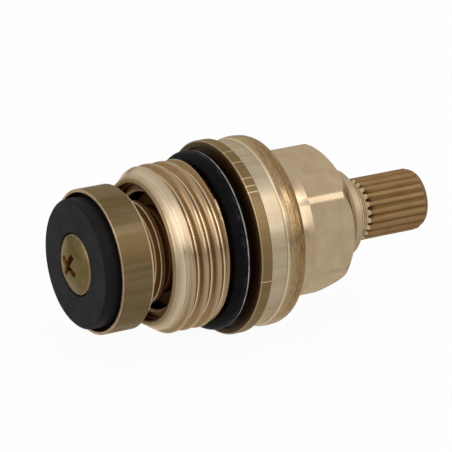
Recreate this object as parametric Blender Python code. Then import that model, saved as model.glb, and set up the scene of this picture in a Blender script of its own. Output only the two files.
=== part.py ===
"""Tap headwork, half inch, with a grease chamber and a spindle that turns but does not rise.

The spindle axis is world X: the splined handle end points to +X, the rubber seat washer to -X.
The origin is the centre of the flange face that seals on the tap body.
Turning the spindle anticlockwise, seen from the handle, draws the plunger in and opens the tap.
"""
import math

import bmesh
import bpy
from mathutils import Matrix, Vector

MM = 0.001
HALF_TURN = math.pi
FULL_TURN = 2 * math.pi
HEX_CORNER_RATIO = 1 / math.sqrt(3)

# Facets round the axis
BODY_FACETS = 48
PIECE_FACETS = 40
SMALL_FACETS = 26
RING_SECTION_FACETS = 8
SHARP_ANGLE = math.radians(28)
AXIS_MARK_SIZE = 5 * MM

# Clearances between pieces
RUNNING_GAP = 0.1 * MM
RING_GAP = 0.12 * MM
SEAT_GAP = 0.25 * MM
END_PLAY = 0.35 * MM

# Body, outside, listed from the nose to the boss
NOSE_LENGTH = 10.6 * MM
NOSE_RADIUS = 9.15 * MM
NOSE_BAND = 0.6 * MM
NOSE_EDGE = 0.3 * MM
THREAD_RADIUS = 20.955 / 2 * MM
THREAD_LEAD_IN = 1.4 * MM
THREAD_END_CHAMFER = 0.35 * MM
THREAD_PITCH = 1.814 * MM
THREAD_DEPTH = 0.7 * MM
THREAD_ROOT_WIDTH = 0.54 * MM
THREAD_FLANK = math.radians(27.5)
THREAD_FIRST_GROOVE = 0.77 * MM
THREAD_CUT_PROUD = 0.15 * MM
SEAL_GROOVE_LENGTH = 3.35 * MM
SEAL_GROOVE_WALL = 1.47 * MM
FLANGE_LAND = 0.83 * MM
FLANGE_THICKNESS = 1.5 * MM
FLANGE_EDGE = 0.2 * MM
FLANGE_RELIEF = 0.25 * MM
STEP_DROP = 0.59 * MM
STEP_LENGTH = 2.4 * MM
BEAD_HEIGHT = 0.4 * MM
BEAD_LENGTH = 2.5 * MM
BEAD_EDGE_HEIGHT = 0.18 * MM
BEAD_POINTS = 5
SHOULDER_RADIUS = 9.56 * MM
SHOULDER_LENGTH = 2.75 * MM
HEX_ACROSS_FLATS = 17.0 * MM
HEX_LENGTH = 6.45 * MM
HEX_CHAMFER_LENGTH = 1.2 * MM
HEX_CHAMFER_DEPTH = 0.76 * MM
HEX_CORNER_TURN = math.radians(35.5)
BOSS_RADIUS = 5.5 * MM
BOSS_LENGTH = 3.25 * MM
BOSS_EDGE = 0.25 * MM

# Body, inside
NOSE_WALL = 0.65 * MM
MOUTH_DEPTH = 1.3 * MM
SEAL_BORE_RADIUS = 7.35 * MM
GUIDE_ACROSS_FLATS = 11.6 * MM
CHAMBER_LENGTH = 3.4 * MM
CHAMBER_RADIUS = 6.9 * MM
NECK_BORE_LENGTH = 6.25 * MM
BORE_EDGE = 0.25 * MM

# Spindle
SPLINE_TIP_RADIUS = 3.95 * MM
SPLINE_DEPTH = 0.45 * MM
SPLINE_LENGTH = 9.1 * MM
SPLINE_TEETH = 22
SPLINE_FIRST_GAP = math.radians(5.4)
SPLINE_GAP_SHARE = 0.6
SPLINE_ROOT_WIDTH = 0.12 * MM
SPLINE_END_LENGTH = 0.65 * MM
SPLINE_END_DEPTH = 0.27 * MM
SPLINE_START_EDGE = 0.25 * MM
NECK_LENGTH = 1.65 * MM
NECK_DEPTH = 0.5 * MM
HANDLE_HOLE_RADIUS = 1.65 * MM
HANDLE_HOLE_DEPTH = 8.0 * MM
HANDLE_HOLE_EDGE = 0.4 * MM
SPINDLE_RING_SECTION = 1.2 * MM
SPINDLE_RING_INSET = 1.9 * MM
SPINDLE_RING_PITCH = 2.4 * MM
COLLAR_LENGTH = 1.5 * MM
DRIVE_RADIUS = 4.0 * MM
DRIVE_EDGE = 0.4 * MM
DRIVE_RELIEF_LENGTH = 1.2 * MM
DRIVE_RELIEF_DEPTH = 0.7 * MM

# Pieces on the spindle
THRUST_WASHER_THICKNESS = 0.8 * MM
CLIP_WIRE = 0.8 * MM
CLIP_MOUTH = math.radians(70)

# Plunger with the washer cup
REST_STANDOFF = 2.3 * MM
CLOSING_TRAVEL = 2.6 * MM
CUP_WALL = 0.4 * MM
CUP_LENGTH = 4.5 * MM
CUP_FLOOR = 2.1 * MM
CUP_EDGE = 0.12 * MM
CUP_BACK_EDGE = 0.5 * MM
PLUNGER_COLLAR_INSET = 0.85 * MM
PLUNGER_COLLAR_WIDTH = 0.5 * MM
PLUNGER_NECK_LENGTH = 2.1 * MM
PLUNGER_NECK_STEP = 0.6 * MM
PLUNGER_WAIST_STEP = 1.1 * MM
LAND_LENGTH = 1.6 * MM
LAND_EDGE = 0.3 * MM
PLUNGER_RING_SECTION = 1.8 * MM
TAIL_RELIEF = 0.8 * MM
TAIL_CORNER_CUT = 0.12 * MM
TAIL_EDGE = 0.4 * MM
WEB_THICKNESS = 1.9 * MM

# Seat washer and its screw
SEAT_WASHER_RADIUS = 8.04 * MM
SEAT_WASHER_SIDE_GAP = 0.56 * MM
SEAT_WASHER_PROUD = 1.75 * MM
SEAT_WASHER_EDGE = 0.3 * MM
SCREW_HEAD_RADIUS = 3.85 * MM
SCREW_HEAD_BAND = 0.1 * MM
SCREW_DOME_HEIGHT = 1.05 * MM
SCREW_DOME_POINTS = 6
SCREW_SHANK_RADIUS = 2.0 * MM
SCREW_LENGTH = 10.0 * MM
SCREW_TIP_EDGE = 0.5 * MM
RECESS_LENGTH = 4.3 * MM
RECESS_WIDTH = 0.85 * MM
RECESS_DEPTH = 1.9 * MM
RECESS_TURN = math.radians(29)

# Seal ring behind the flange
SEAL_RING_SECTION = 2.3 * MM

# Body stations along the axis
flange_back = FLANGE_THICKNESS
bead_front = flange_back + STEP_LENGTH
bead_back = bead_front + BEAD_LENGTH
hex_front = bead_back + SHOULDER_LENGTH
hex_back = hex_front + HEX_LENGTH
boss_end = hex_back + BOSS_LENGTH
nose_front = -NOSE_LENGTH
mouth_floor = nose_front + MOUTH_DEPTH
thrust_shoulder = boss_end - NECK_BORE_LENGTH
chamber_front = thrust_shoulder - CHAMBER_LENGTH

# Body radii, from the bore outwards: the seal ring sits in its groove and inside the flange's land
seal_groove_radius = SEAL_BORE_RADIUS + SEAL_GROOVE_WALL
seal_ring_radius = seal_groove_radius + RING_GAP + SEAL_RING_SECTION
flange_relief_radius = seal_ring_radius + RING_GAP
flange_radius = flange_relief_radius + FLANGE_LAND
step_radius = flange_radius - STEP_DROP

# Spindle stations and radii
neck_bore_radius = SPLINE_TIP_RADIUS + 1.5 * RUNNING_GAP
stem_radius = neck_bore_radius - RUNNING_GAP
spline_front = boss_end + NECK_LENGTH
spindle_end = spline_front + SPLINE_LENGTH
spline_root_radius = SPLINE_TIP_RADIUS - SPLINE_DEPTH
neck_radius = SPLINE_TIP_RADIUS - NECK_DEPTH
thrust_washer_back = thrust_shoulder - SEAT_GAP
thrust_washer_front = thrust_washer_back - THRUST_WASHER_THICKNESS
collar_back = thrust_washer_front - SEAT_GAP
collar_front = collar_back - COLLAR_LENGTH
collar_radius = GUIDE_ACROSS_FLATS / 2 - 2 * RUNNING_GAP
outer_ring_station = boss_end - SPINDLE_RING_INSET
inner_ring_station = outer_ring_station - SPINDLE_RING_PITCH

# Plunger stations and radii: its ring stays in the bore when the plunger is right out,
# and it may move in until its cup nearly meets the nose
opening_travel = REST_STANDOFF - END_PLAY
cup_back = nose_front - REST_STANDOFF
cup_front = cup_back - CUP_LENGTH
cup_floor = cup_back - CUP_FLOOR
cup_bore_radius = SEAT_WASHER_RADIUS + SEAT_WASHER_SIDE_GAP
cup_radius = cup_bore_radius + CUP_WALL
plunger_collar_radius = SEAL_BORE_RADIUS - PLUNGER_COLLAR_INSET
plunger_collar_front = cup_back + PLUNGER_NECK_LENGTH
plunger_collar_back = plunger_collar_front + PLUNGER_COLLAR_WIDTH
land_radius = SEAL_BORE_RADIUS - RUNNING_GAP
ring_groove_width = PLUNGER_RING_SECTION + 2 * SEAT_GAP
ring_groove_front = mouth_floor + BORE_EDGE + END_PLAY + CLOSING_TRAVEL
ring_groove_back = ring_groove_front + ring_groove_width
land_front = ring_groove_front - LAND_LENGTH
land_back = ring_groove_back + LAND_LENGTH
guide_front = land_back + TAIL_RELIEF + opening_travel + END_PLAY
tail_end = collar_front - opening_travel - END_PLAY
tail_across_flats = GUIDE_ACROSS_FLATS - 2 * RUNNING_GAP
drive_bore_radius = DRIVE_RADIUS + 2 * RUNNING_GAP
screw_hole_radius = SCREW_SHANK_RADIUS + RUNNING_GAP

# Seat washer and screw stations
washer_front = cup_front - SEAT_WASHER_PROUD
washer_back = cup_floor - SEAT_GAP
screw_rim = washer_front + SCREW_HEAD_BAND
screw_tip = washer_front + SCREW_LENGTH
screw_hole_end = screw_tip + SEAT_GAP
drive_bore_end = screw_hole_end + WEB_THICKNESS
spindle_tip = drive_bore_end + opening_travel + END_PLAY


def clear_scene():
    """Remove what a new file starts with."""
    for old in list(bpy.data.objects):
        bpy.data.objects.remove(old, do_unlink=True)


def finish(name, colour, roughness, metallic):
    """One surface finish with its colour, roughness and metallic value."""
    material = bpy.data.materials.new(name)
    material.use_nodes = True
    shader = material.node_tree.nodes["Principled BSDF"]
    shader.inputs["Base Color"].default_value = (*colour, 1.0)
    shader.inputs["Roughness"].default_value = roughness
    shader.inputs["Metallic"].default_value = metallic
    material.diffuse_color = (*colour, 1.0)
    return material


def joint_axis(name, station):
    """An empty on the spindle axis that carries the pieces of one moving body."""
    empty = bpy.data.objects.new(name, None)
    empty.location = (station, 0.0, 0.0)
    empty.empty_display_size = AXIS_MARK_SIZE
    bpy.context.scene.collection.objects.link(empty)
    return empty


def piece(name, bm, material, station=0.0, carrier=None):
    """Make one sub-part from a mesh drawn in the body's stations, with its origin at its own."""
    bmesh.ops.translate(bm, verts=bm.verts, vec=(-station, 0.0, 0.0))
    bmesh.ops.recalc_face_normals(bm, faces=bm.faces)
    mesh = bpy.data.meshes.new(name)
    bm.to_mesh(mesh)
    bm.free()
    mesh.shade_smooth()
    mesh.set_sharp_from_angle(angle=SHARP_ANGLE)
    mesh.materials.append(material)
    made = bpy.data.objects.new(name, mesh)
    bpy.context.scene.collection.objects.link(made)
    made.parent = carrier
    made.location.x = station - (carrier.location.x if carrier else 0.0)
    return made


def cutter(name, bm):
    """A shape that only cuts other pieces."""
    bmesh.ops.recalc_face_normals(bm, faces=bm.faces)
    mesh = bpy.data.meshes.new(name)
    bm.to_mesh(mesh)
    bm.free()
    shape = bpy.data.objects.new(name, mesh)
    shape.display_type = "WIRE"
    shape.hide_render = True
    bpy.context.scene.collection.objects.link(shape)
    return shape


def cut(target, shape):
    """Cut a shape out of a piece."""
    boolean = target.modifiers.new(shape.name, "BOOLEAN")
    boolean.operation = "DIFFERENCE"
    boolean.solver = "EXACT"
    boolean.object = shape


def turn_profile(profile, facets, angle=FULL_TURN):
    """Turn a profile of (station, radius) points about the axis.

    A profile that starts and ends on the axis makes a solid; any other is closed to a ring.
    """
    bm = bmesh.new()
    points = [bm.verts.new((x, 0.0, radius)) for x, radius in profile]
    edges = [bm.edges.new(pair) for pair in zip(points, points[1:])]
    if profile[0][1] > 0.0:
        edges.append(bm.edges.new((points[-1], points[0])))
    whole = angle >= FULL_TURN
    bmesh.ops.spin(
        bm,
        geom=points + edges,
        cent=(0.0, 0.0, 0.0),
        axis=(1.0, 0.0, 0.0),
        angle=angle,
        steps=facets,
        use_merge=whole,
    )
    if not whole:
        bmesh.ops.holes_fill(bm, edges=bm.edges, sides=0)
    bmesh.ops.remove_doubles(bm, verts=bm.verts, dist=0.0001 * MM)
    return bm


def arc(centre, radius, start, end, count):
    """Points on an arc; angles run from +X towards the outside."""
    angles = [start + (end - start) * i / (count - 1) for i in range(count)]
    return [(centre[0] + radius * math.cos(a), centre[1] + radius * math.sin(a)) for a in angles]


def crown(start, end, height, count):
    """Points of a low arch from one end to the other, its middle raised by height."""
    half = math.dist(start, end) / 2
    radius = (half * half + height * height) / (2 * height)
    spread = math.asin(half / radius)
    middle = ((start[0] + end[0]) / 2, (start[1] + end[1]) / 2 + height - radius)
    return arc(middle, radius, HALF_TURN / 2 + spread, HALF_TURN / 2 - spread, count)


def ring_profile(station, outer_radius, section):
    """The round section of a seal ring or a wire clip."""
    centre = (station, outer_radius - section / 2)
    return arc(centre, section / 2, 0.0, FULL_TURN, RING_SECTION_FACETS + 1)[:-1]


def helix_sweep(section, pitch, length, facets):
    """Sweep a closed section along a right-hand helix about the axis."""
    steps = round(length / pitch * facets)
    bm = bmesh.new()
    points = [bm.verts.new((x, 0.0, radius)) for x, radius in section]
    edges = [bm.edges.new((points[i - 1], points[i])) for i in range(len(points))]
    bmesh.ops.spin(
        bm,
        geom=points + edges,
        cent=(0.0, 0.0, 0.0),
        axis=(1.0, 0.0, 0.0),
        dvec=(pitch / facets, 0.0, 0.0),
        angle=FULL_TURN * steps / facets,
        steps=steps,
        use_merge=False,
    )
    bmesh.ops.holes_fill(bm, edges=bm.edges, sides=0)
    bmesh.ops.triangulate(bm, faces=bm.faces)
    return bm


def groove(station, width, depth_radius, land):
    """A square groove, given from its +X side to its -X side."""
    back = station + width / 2
    front = station - width / 2
    return [(back, land), (back, depth_radius), (front, depth_radius), (front, land)]


def hexagon(across_flats, station, first_corner):
    """The six corners of a hexagon across the axis."""
    radius = across_flats * HEX_CORNER_RATIO
    turns = [first_corner + i * FULL_TURN / 6 for i in range(6)]
    return [(station, -radius * math.cos(a), radius * math.sin(a)) for a in turns]


def hexagon_prism(across_flats, front, back, first_corner):
    """A six-sided bar along the axis."""
    bm = bmesh.new()
    corners = [bm.verts.new(p) for p in hexagon(across_flats, front, first_corner)]
    end = bm.faces.new(corners)
    grown = bmesh.ops.extrude_face_region(bm, geom=[end])
    moved = [v for v in grown["geom"] if isinstance(v, bmesh.types.BMVert)]
    bmesh.ops.translate(bm, verts=moved, vec=(back - front, 0.0, 0.0))
    return bm


def flats_mill(across_flats, outer_radius, front, back, first_corner):
    """A sleeve with a six-sided hole: it leaves the flats of a hexagon on what stands in it."""
    bm = bmesh.new()
    loops = []
    for station in (front, back):
        inner = [bm.verts.new(p) for p in hexagon(across_flats, station, first_corner)]
        outer = [bm.verts.new(p) for p in hexagon(2 * outer_radius, station, first_corner)]
        loops.append((inner, outer))
    (front_in, front_out), (back_in, back_out) = loops
    for i in range(6):
        j = (i + 1) % 6
        bm.faces.new((front_in[i], front_in[j], front_out[j], front_out[i]))
        bm.faces.new((back_in[j], back_in[i], back_out[i], back_out[j]))
        bm.faces.new((front_in[j], front_in[i], back_in[i], back_in[j]))
        bm.faces.new((front_out[i], front_out[j], back_out[j], back_out[i]))
    return bm


def spline_cutter():
    """All the gaps between the teeth: narrow at the root and wider at the tips."""
    pitch = FULL_TURN / SPLINE_TEETH
    tip_half = SPLINE_TIP_RADIUS * math.sin(SPLINE_GAP_SHARE * pitch / 2)
    root_half = SPLINE_ROOT_WIDTH / 2
    flare = (tip_half - root_half) / SPLINE_DEPTH
    outside = SPLINE_TIP_RADIUS + SPLINE_DEPTH
    outside_half = root_half + flare * (outside - spline_root_radius)
    front = spline_front - NECK_LENGTH / 4
    back = spindle_end + SPLINE_DEPTH
    section = [
        (-root_half, spline_root_radius),
        (root_half, spline_root_radius),
        (outside_half, outside),
        (-outside_half, outside),
    ]
    bm = bmesh.new()
    for tooth in range(SPLINE_TEETH):
        turn = Matrix.Rotation(SPLINE_FIRST_GAP + tooth * pitch, 3, "X")
        near = [bm.verts.new(turn @ Vector((front, y, z))) for y, z in section]
        far = [bm.verts.new(turn @ Vector((back, y, z))) for y, z in section]
        bm.faces.new(near)
        bm.faces.new(far[::-1])
        for i in range(4):
            j = (i + 1) % 4
            bm.faces.new((near[j], near[i], far[i], far[j]))
    return bm


def thread_cutter():
    """The one right-hand groove of the thread, run out into the seal groove behind it."""
    root = THREAD_RADIUS - THREAD_DEPTH
    top = THREAD_RADIUS + THREAD_CUT_PROUD
    root_half = THREAD_ROOT_WIDTH / 2
    top_half = root_half + (top - root) * math.tan(THREAD_FLANK)
    start = nose_front + THREAD_FIRST_GROOVE - THREAD_PITCH
    end = -SEAL_GROOVE_LENGTH / 2
    section = [
        (start - top_half, top),
        (start + top_half, top),
        (start + root_half, root),
        (start - root_half, root),
    ]
    return helix_sweep(section, THREAD_PITCH, end - start, BODY_FACETS)


def recess_blade(turn):
    """One blade of the cross recess, narrowing towards its bottom."""
    top = screw_rim - SCREW_DOME_HEIGHT - SCREW_HEAD_BAND - RECESS_WIDTH
    bottom = screw_rim - SCREW_DOME_HEIGHT - SCREW_HEAD_BAND + RECESS_DEPTH
    bm = bmesh.new()
    bmesh.ops.create_cube(bm, size=1.0)
    for vert in bm.verts:
        at_bottom = vert.co.x > 0
        length = RECESS_LENGTH * (0.45 if at_bottom else 1.0)
        width = RECESS_WIDTH * (0.7 if at_bottom else 1.0)
        vert.co = (bottom if at_bottom else top, vert.co.y * length, vert.co.z * width)
    bmesh.ops.rotate(bm, verts=bm.verts, cent=(0, 0, 0), matrix=Matrix.Rotation(turn, 3, "X"))
    return bm


def body_profile():
    """Outside from the nose to the boss, then inside back to the nose."""
    bead = crown(
        (bead_front, step_radius + BEAD_EDGE_HEIGHT),
        (bead_back, step_radius + BEAD_EDGE_HEIGHT),
        BEAD_HEIGHT - BEAD_EDGE_HEIGHT,
        BEAD_POINTS,
    )
    outside = [
        (nose_front, NOSE_RADIUS - NOSE_EDGE),
        (nose_front + NOSE_EDGE, NOSE_RADIUS),
        (nose_front + NOSE_BAND, NOSE_RADIUS),
        (nose_front + NOSE_BAND + THREAD_LEAD_IN, THREAD_RADIUS),
        (-SEAL_GROOVE_LENGTH - THREAD_END_CHAMFER, THREAD_RADIUS),
        (-SEAL_GROOVE_LENGTH, THREAD_RADIUS - THREAD_END_CHAMFER),
        (-SEAL_GROOVE_LENGTH, seal_groove_radius),
        (FLANGE_RELIEF, seal_groove_radius),
        (FLANGE_RELIEF, flange_relief_radius),
        (0.0, flange_relief_radius),
        (0.0, flange_radius - FLANGE_EDGE),
        (FLANGE_EDGE, flange_radius),
        (flange_back - FLANGE_EDGE, flange_radius),
        (flange_back, flange_radius - FLANGE_EDGE),
        (flange_back, step_radius),
        (bead_front, step_radius),
        *bead,
        (bead_back, SHOULDER_RADIUS),
        (hex_back - HEX_CHAMFER_LENGTH, SHOULDER_RADIUS),
        (hex_back, SHOULDER_RADIUS - HEX_CHAMFER_DEPTH),
        (hex_back, BOSS_RADIUS),
        (boss_end - BOSS_EDGE, BOSS_RADIUS),
        (boss_end, BOSS_RADIUS - BOSS_EDGE),
    ]
    guide_start_radius = GUIDE_ACROSS_FLATS / 2 - RUNNING_GAP
    inside = [
        (boss_end, neck_bore_radius + BORE_EDGE),
        (boss_end - BORE_EDGE, neck_bore_radius),
        (thrust_shoulder, neck_bore_radius),
        (thrust_shoulder, CHAMBER_RADIUS),
        (chamber_front, CHAMBER_RADIUS),
        (chamber_front, guide_start_radius),
        (guide_front, guide_start_radius),
        (guide_front, SEAL_BORE_RADIUS),
        (mouth_floor + BORE_EDGE, SEAL_BORE_RADIUS),
        (mouth_floor, SEAL_BORE_RADIUS + BORE_EDGE),
        (mouth_floor, NOSE_RADIUS - NOSE_WALL),
        (nose_front + BORE_EDGE, NOSE_RADIUS - NOSE_WALL),
        (nose_front, NOSE_RADIUS - NOSE_WALL + BORE_EDGE),
    ]
    return outside + inside


def make_body(brass):
    """The turned head: nose, thread, flange, bead, spanner hexagon and boss, bored through."""
    body = piece("body", turn_profile(body_profile(), BODY_FACETS), brass)
    spanner_flats = flats_mill(
        HEX_ACROSS_FLATS, flange_radius, hex_front, boss_end, HEX_CORNER_TURN
    )
    cut(body, cutter("body_spanner_flats", spanner_flats))
    guide = hexagon_prism(
        GUIDE_ACROSS_FLATS, guide_front - END_PLAY, chamber_front + END_PLAY, HEX_CORNER_TURN
    )
    cut(body, cutter("body_plunger_guide", guide))
    cut(body, cutter("body_thread", thread_cutter()))
    return body


def make_body_seal(rubber):
    """The seal ring that lies in the groove behind the thread, against the flange."""
    station = -SEAL_GROOVE_LENGTH / 2
    section = ring_profile(station, seal_ring_radius, SEAL_RING_SECTION)
    return piece("body_seal_ring", turn_profile(section, BODY_FACETS), rubber, station)


def spindle_profile():
    """From the bottom of the handle screw hole, over the spline and the collar, to the tip."""
    ring_groove_radius = neck_bore_radius - SPINDLE_RING_SECTION - 2 * RING_GAP
    ring_groove_width = SPINDLE_RING_SECTION + 2 * RING_GAP
    stem_end = boss_end + RUNNING_GAP
    relief_back = collar_front - DRIVE_RELIEF_LENGTH
    return [
        (spindle_end - HANDLE_HOLE_DEPTH - HANDLE_HOLE_RADIUS / 2, 0.0),
        (spindle_end - HANDLE_HOLE_DEPTH, HANDLE_HOLE_RADIUS),
        (spindle_end - HANDLE_HOLE_EDGE, HANDLE_HOLE_RADIUS),
        (spindle_end, HANDLE_HOLE_RADIUS + HANDLE_HOLE_EDGE),
        (spindle_end, SPLINE_TIP_RADIUS - SPLINE_END_DEPTH),
        (spindle_end - SPLINE_END_LENGTH, SPLINE_TIP_RADIUS),
        (spline_front + SPLINE_START_EDGE, SPLINE_TIP_RADIUS),
        (spline_front, SPLINE_TIP_RADIUS - SPLINE_START_EDGE),
        (spline_front, neck_radius),
        (stem_end, neck_radius),
        (stem_end, stem_radius),
        *groove(outer_ring_station, ring_groove_width, ring_groove_radius, stem_radius),
        *groove(inner_ring_station, ring_groove_width, ring_groove_radius, stem_radius),
        (collar_back, stem_radius),
        (collar_back, collar_radius),
        (collar_front, collar_radius),
        (collar_front, DRIVE_RADIUS - DRIVE_RELIEF_DEPTH),
        (relief_back, DRIVE_RADIUS - DRIVE_RELIEF_DEPTH),
        (relief_back - DRIVE_RELIEF_DEPTH, DRIVE_RADIUS),
        (spindle_tip + DRIVE_EDGE, DRIVE_RADIUS),
        (spindle_tip, DRIVE_RADIUS - DRIVE_EDGE),
        (spindle_tip, 0.0),
    ]


def make_spindle(brass, carrier):
    """The spindle: splined handle end, neck for the clip, sealed stem, collar and drive screw."""
    profile = turn_profile(spindle_profile(), 2 * SPLINE_TEETH)
    spindle = piece("spindle", profile, brass, thrust_shoulder, carrier)
    cut(spindle, cutter("spindle_spline_gaps", spline_cutter()))
    return spindle


def make_spindle_rings(rubber, carrier):
    """The two seal rings in the grooves of the stem."""
    outer_radius = neck_bore_radius - RING_GAP
    stations = {"spindle_ring_outer": outer_ring_station, "spindle_ring_inner": inner_ring_station}
    for name, station in stations.items():
        section = ring_profile(station, outer_radius, SPINDLE_RING_SECTION)
        piece(name, turn_profile(section, SMALL_FACETS), rubber, station, carrier)


def make_thrust_washer(plastic):
    """The slide washer between the spindle's collar and the shoulder of the body."""
    outer = collar_radius
    inner = stem_radius + 2 * RUNNING_GAP
    section = [
        (thrust_washer_front, outer),
        (thrust_washer_back, outer),
        (thrust_washer_back, inner),
        (thrust_washer_front, inner),
    ]
    washer = turn_profile(section, SMALL_FACETS)
    return piece("thrust_washer", washer, plastic, thrust_washer_front)


def make_retaining_clip(bronze, carrier):
    """The open wire clip in the neck, which keeps the spindle from being pushed in."""
    station = boss_end + SEAT_GAP + CLIP_WIRE / 2
    outer_radius = neck_radius + RING_GAP + CLIP_WIRE
    section = ring_profile(station, outer_radius, CLIP_WIRE)
    bm = turn_profile(section, SMALL_FACETS, FULL_TURN - CLIP_MOUTH)
    turn = Matrix.Rotation(HALF_TURN + CLIP_MOUTH / 2, 3, "X")
    bmesh.ops.rotate(bm, verts=bm.verts, cent=(0.0, 0.0, 0.0), matrix=turn)
    return piece("retaining_clip", bm, bronze, station, carrier)


def plunger_profile():
    """From the screw hole, round the cup, along the seal land and tail, into the drive bore."""
    waist_radius = plunger_collar_radius - PLUNGER_WAIST_STEP
    ring_groove_radius = SEAL_BORE_RADIUS - PLUNGER_RING_SECTION - 2 * RING_GAP
    tail_radius = tail_across_flats * HEX_CORNER_RATIO - TAIL_CORNER_CUT
    return [
        (screw_hole_end + screw_hole_radius / 2, 0.0),
        (screw_hole_end, screw_hole_radius),
        (cup_floor, screw_hole_radius),
        (cup_floor, cup_bore_radius),
        (cup_front, cup_bore_radius),
        (cup_front, cup_radius - CUP_EDGE),
        (cup_front + CUP_EDGE, cup_radius),
        (cup_back - CUP_BACK_EDGE, cup_radius),
        (cup_back, cup_radius - CUP_BACK_EDGE),
        (cup_back, plunger_collar_radius - PLUNGER_NECK_STEP),
        (plunger_collar_front, plunger_collar_radius - PLUNGER_NECK_STEP),
        (plunger_collar_front, plunger_collar_radius),
        (plunger_collar_back, plunger_collar_radius),
        (plunger_collar_back, waist_radius),
        (land_front, waist_radius),
        (land_front, land_radius - LAND_EDGE),
        (land_front + LAND_EDGE, land_radius),
        (ring_groove_front, land_radius),
        (ring_groove_front, ring_groove_radius),
        (ring_groove_back, ring_groove_radius),
        (ring_groove_back, land_radius),
        (land_back, land_radius),
        (land_back, tail_radius),
        (tail_end - TAIL_EDGE, tail_radius),
        (tail_end, tail_radius - TAIL_EDGE),
        (tail_end, drive_bore_radius + TAIL_EDGE),
        (tail_end - TAIL_EDGE, drive_bore_radius),
        (drive_bore_end, drive_bore_radius),
        (drive_bore_end, 0.0),
    ]


def make_plunger(brass, carrier):
    """The valve plunger: washer cup, seal land and a six-sided tail that cannot turn."""
    profile = turn_profile(plunger_profile(), PIECE_FACETS)
    plunger = piece("plunger", profile, brass, cup_back, carrier)
    tail_flats = flats_mill(
        tail_across_flats,
        SEAL_BORE_RADIUS,
        land_back + TAIL_RELIEF,
        tail_end + TAIL_RELIEF,
        HEX_CORNER_TURN,
    )
    cut(plunger, cutter("plunger_tail_flats", tail_flats))
    return plunger


def make_plunger_ring(rubber, carrier):
    """The seal ring that closes the grease chamber round the plunger."""
    station = (ring_groove_front + ring_groove_back) / 2
    section = ring_profile(station, SEAL_BORE_RADIUS - RING_GAP, PLUNGER_RING_SECTION)
    return piece("plunger_ring", turn_profile(section, PIECE_FACETS), rubber, station, carrier)


def make_seat_washer(rubber, carrier):
    """The flat rubber washer that closes on the tap's seat, sunk round its screw."""
    hole_radius = SCREW_SHANK_RADIUS + SEAT_GAP
    sink_radius = SCREW_HEAD_RADIUS + RUNNING_GAP
    sink_start = screw_rim + SEAT_GAP
    section = [
        (washer_front, sink_radius),
        (washer_front, SEAT_WASHER_RADIUS - SEAT_WASHER_EDGE),
        (washer_front + SEAT_WASHER_EDGE, SEAT_WASHER_RADIUS),
        (washer_back, SEAT_WASHER_RADIUS),
        (washer_back, hole_radius),
        (sink_start + sink_radius - hole_radius, hole_radius),
        (sink_start, sink_radius),
    ]
    bm = turn_profile(section, PIECE_FACETS)
    return piece("seat_washer", bm, rubber, washer_back, carrier)


def make_washer_screw(brass, carrier):
    """The raised countersunk screw with a cross recess that holds the seat washer."""
    radius = SCREW_HEAD_RADIUS
    sphere = (radius**2 + SCREW_DOME_HEIGHT**2) / (2 * SCREW_DOME_HEIGHT)
    spread = math.asin(radius / sphere)
    middle = (washer_front - SCREW_DOME_HEIGHT + sphere, 0.0)
    dome = arc(middle, sphere, HALF_TURN, HALF_TURN - spread, SCREW_DOME_POINTS)
    profile = [
        (dome[0][0], 0.0),
        *dome[1:],
        (screw_rim, radius),
        (screw_rim + radius - SCREW_SHANK_RADIUS, SCREW_SHANK_RADIUS),
        (screw_tip - SCREW_TIP_EDGE, SCREW_SHANK_RADIUS),
        (screw_tip, SCREW_SHANK_RADIUS - SCREW_TIP_EDGE),
        (screw_tip, 0.0),
    ]
    screw = piece("washer_screw", turn_profile(profile, SMALL_FACETS), brass, screw_rim, carrier)
    cut(screw, cutter("screw_recess_a", recess_blade(RECESS_TURN)))
    cut(screw, cutter("screw_recess_b", recess_blade(RECESS_TURN + HALF_TURN / 2)))
    return screw


def build():
    """Put the headwork together."""
    clear_scene()
    body_brass = finish("body_brass", (0.52, 0.38, 0.19), 0.28, 1.0)
    spindle_brass = finish("spindle_brass", (0.40, 0.23, 0.09), 0.38, 1.0)
    plunger_brass = finish("plunger_brass", (0.31, 0.20, 0.09), 0.34, 1.0)
    screw_brass = finish("screw_brass", (0.26, 0.19, 0.08), 0.30, 1.0)
    seat_rubber = finish("seat_rubber", (0.020, 0.019, 0.020), 0.62, 0.0)
    ring_rubber = finish("ring_rubber", (0.010, 0.010, 0.012), 0.42, 0.0)
    clip_bronze = finish("clip_bronze", (0.62, 0.50, 0.30), 0.30, 1.0)
    slide_plastic = finish("slide_plastic", (0.80, 0.79, 0.74), 0.45, 0.0)

    spindle_turn = joint_axis("spindle_turn", thrust_shoulder)
    plunger_slide = joint_axis("plunger_slide", cup_back)

    make_body(body_brass)
    make_body_seal(ring_rubber)
    make_thrust_washer(slide_plastic)
    make_spindle(spindle_brass, spindle_turn)
    make_spindle_rings(ring_rubber, spindle_turn)
    make_retaining_clip(clip_bronze, spindle_turn)
    make_plunger(plunger_brass, plunger_slide)
    make_plunger_ring(ring_rubber, plunger_slide)
    make_seat_washer(seat_rubber, plunger_slide)
    make_washer_screw(screw_brass, plunger_slide)


build()
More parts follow.
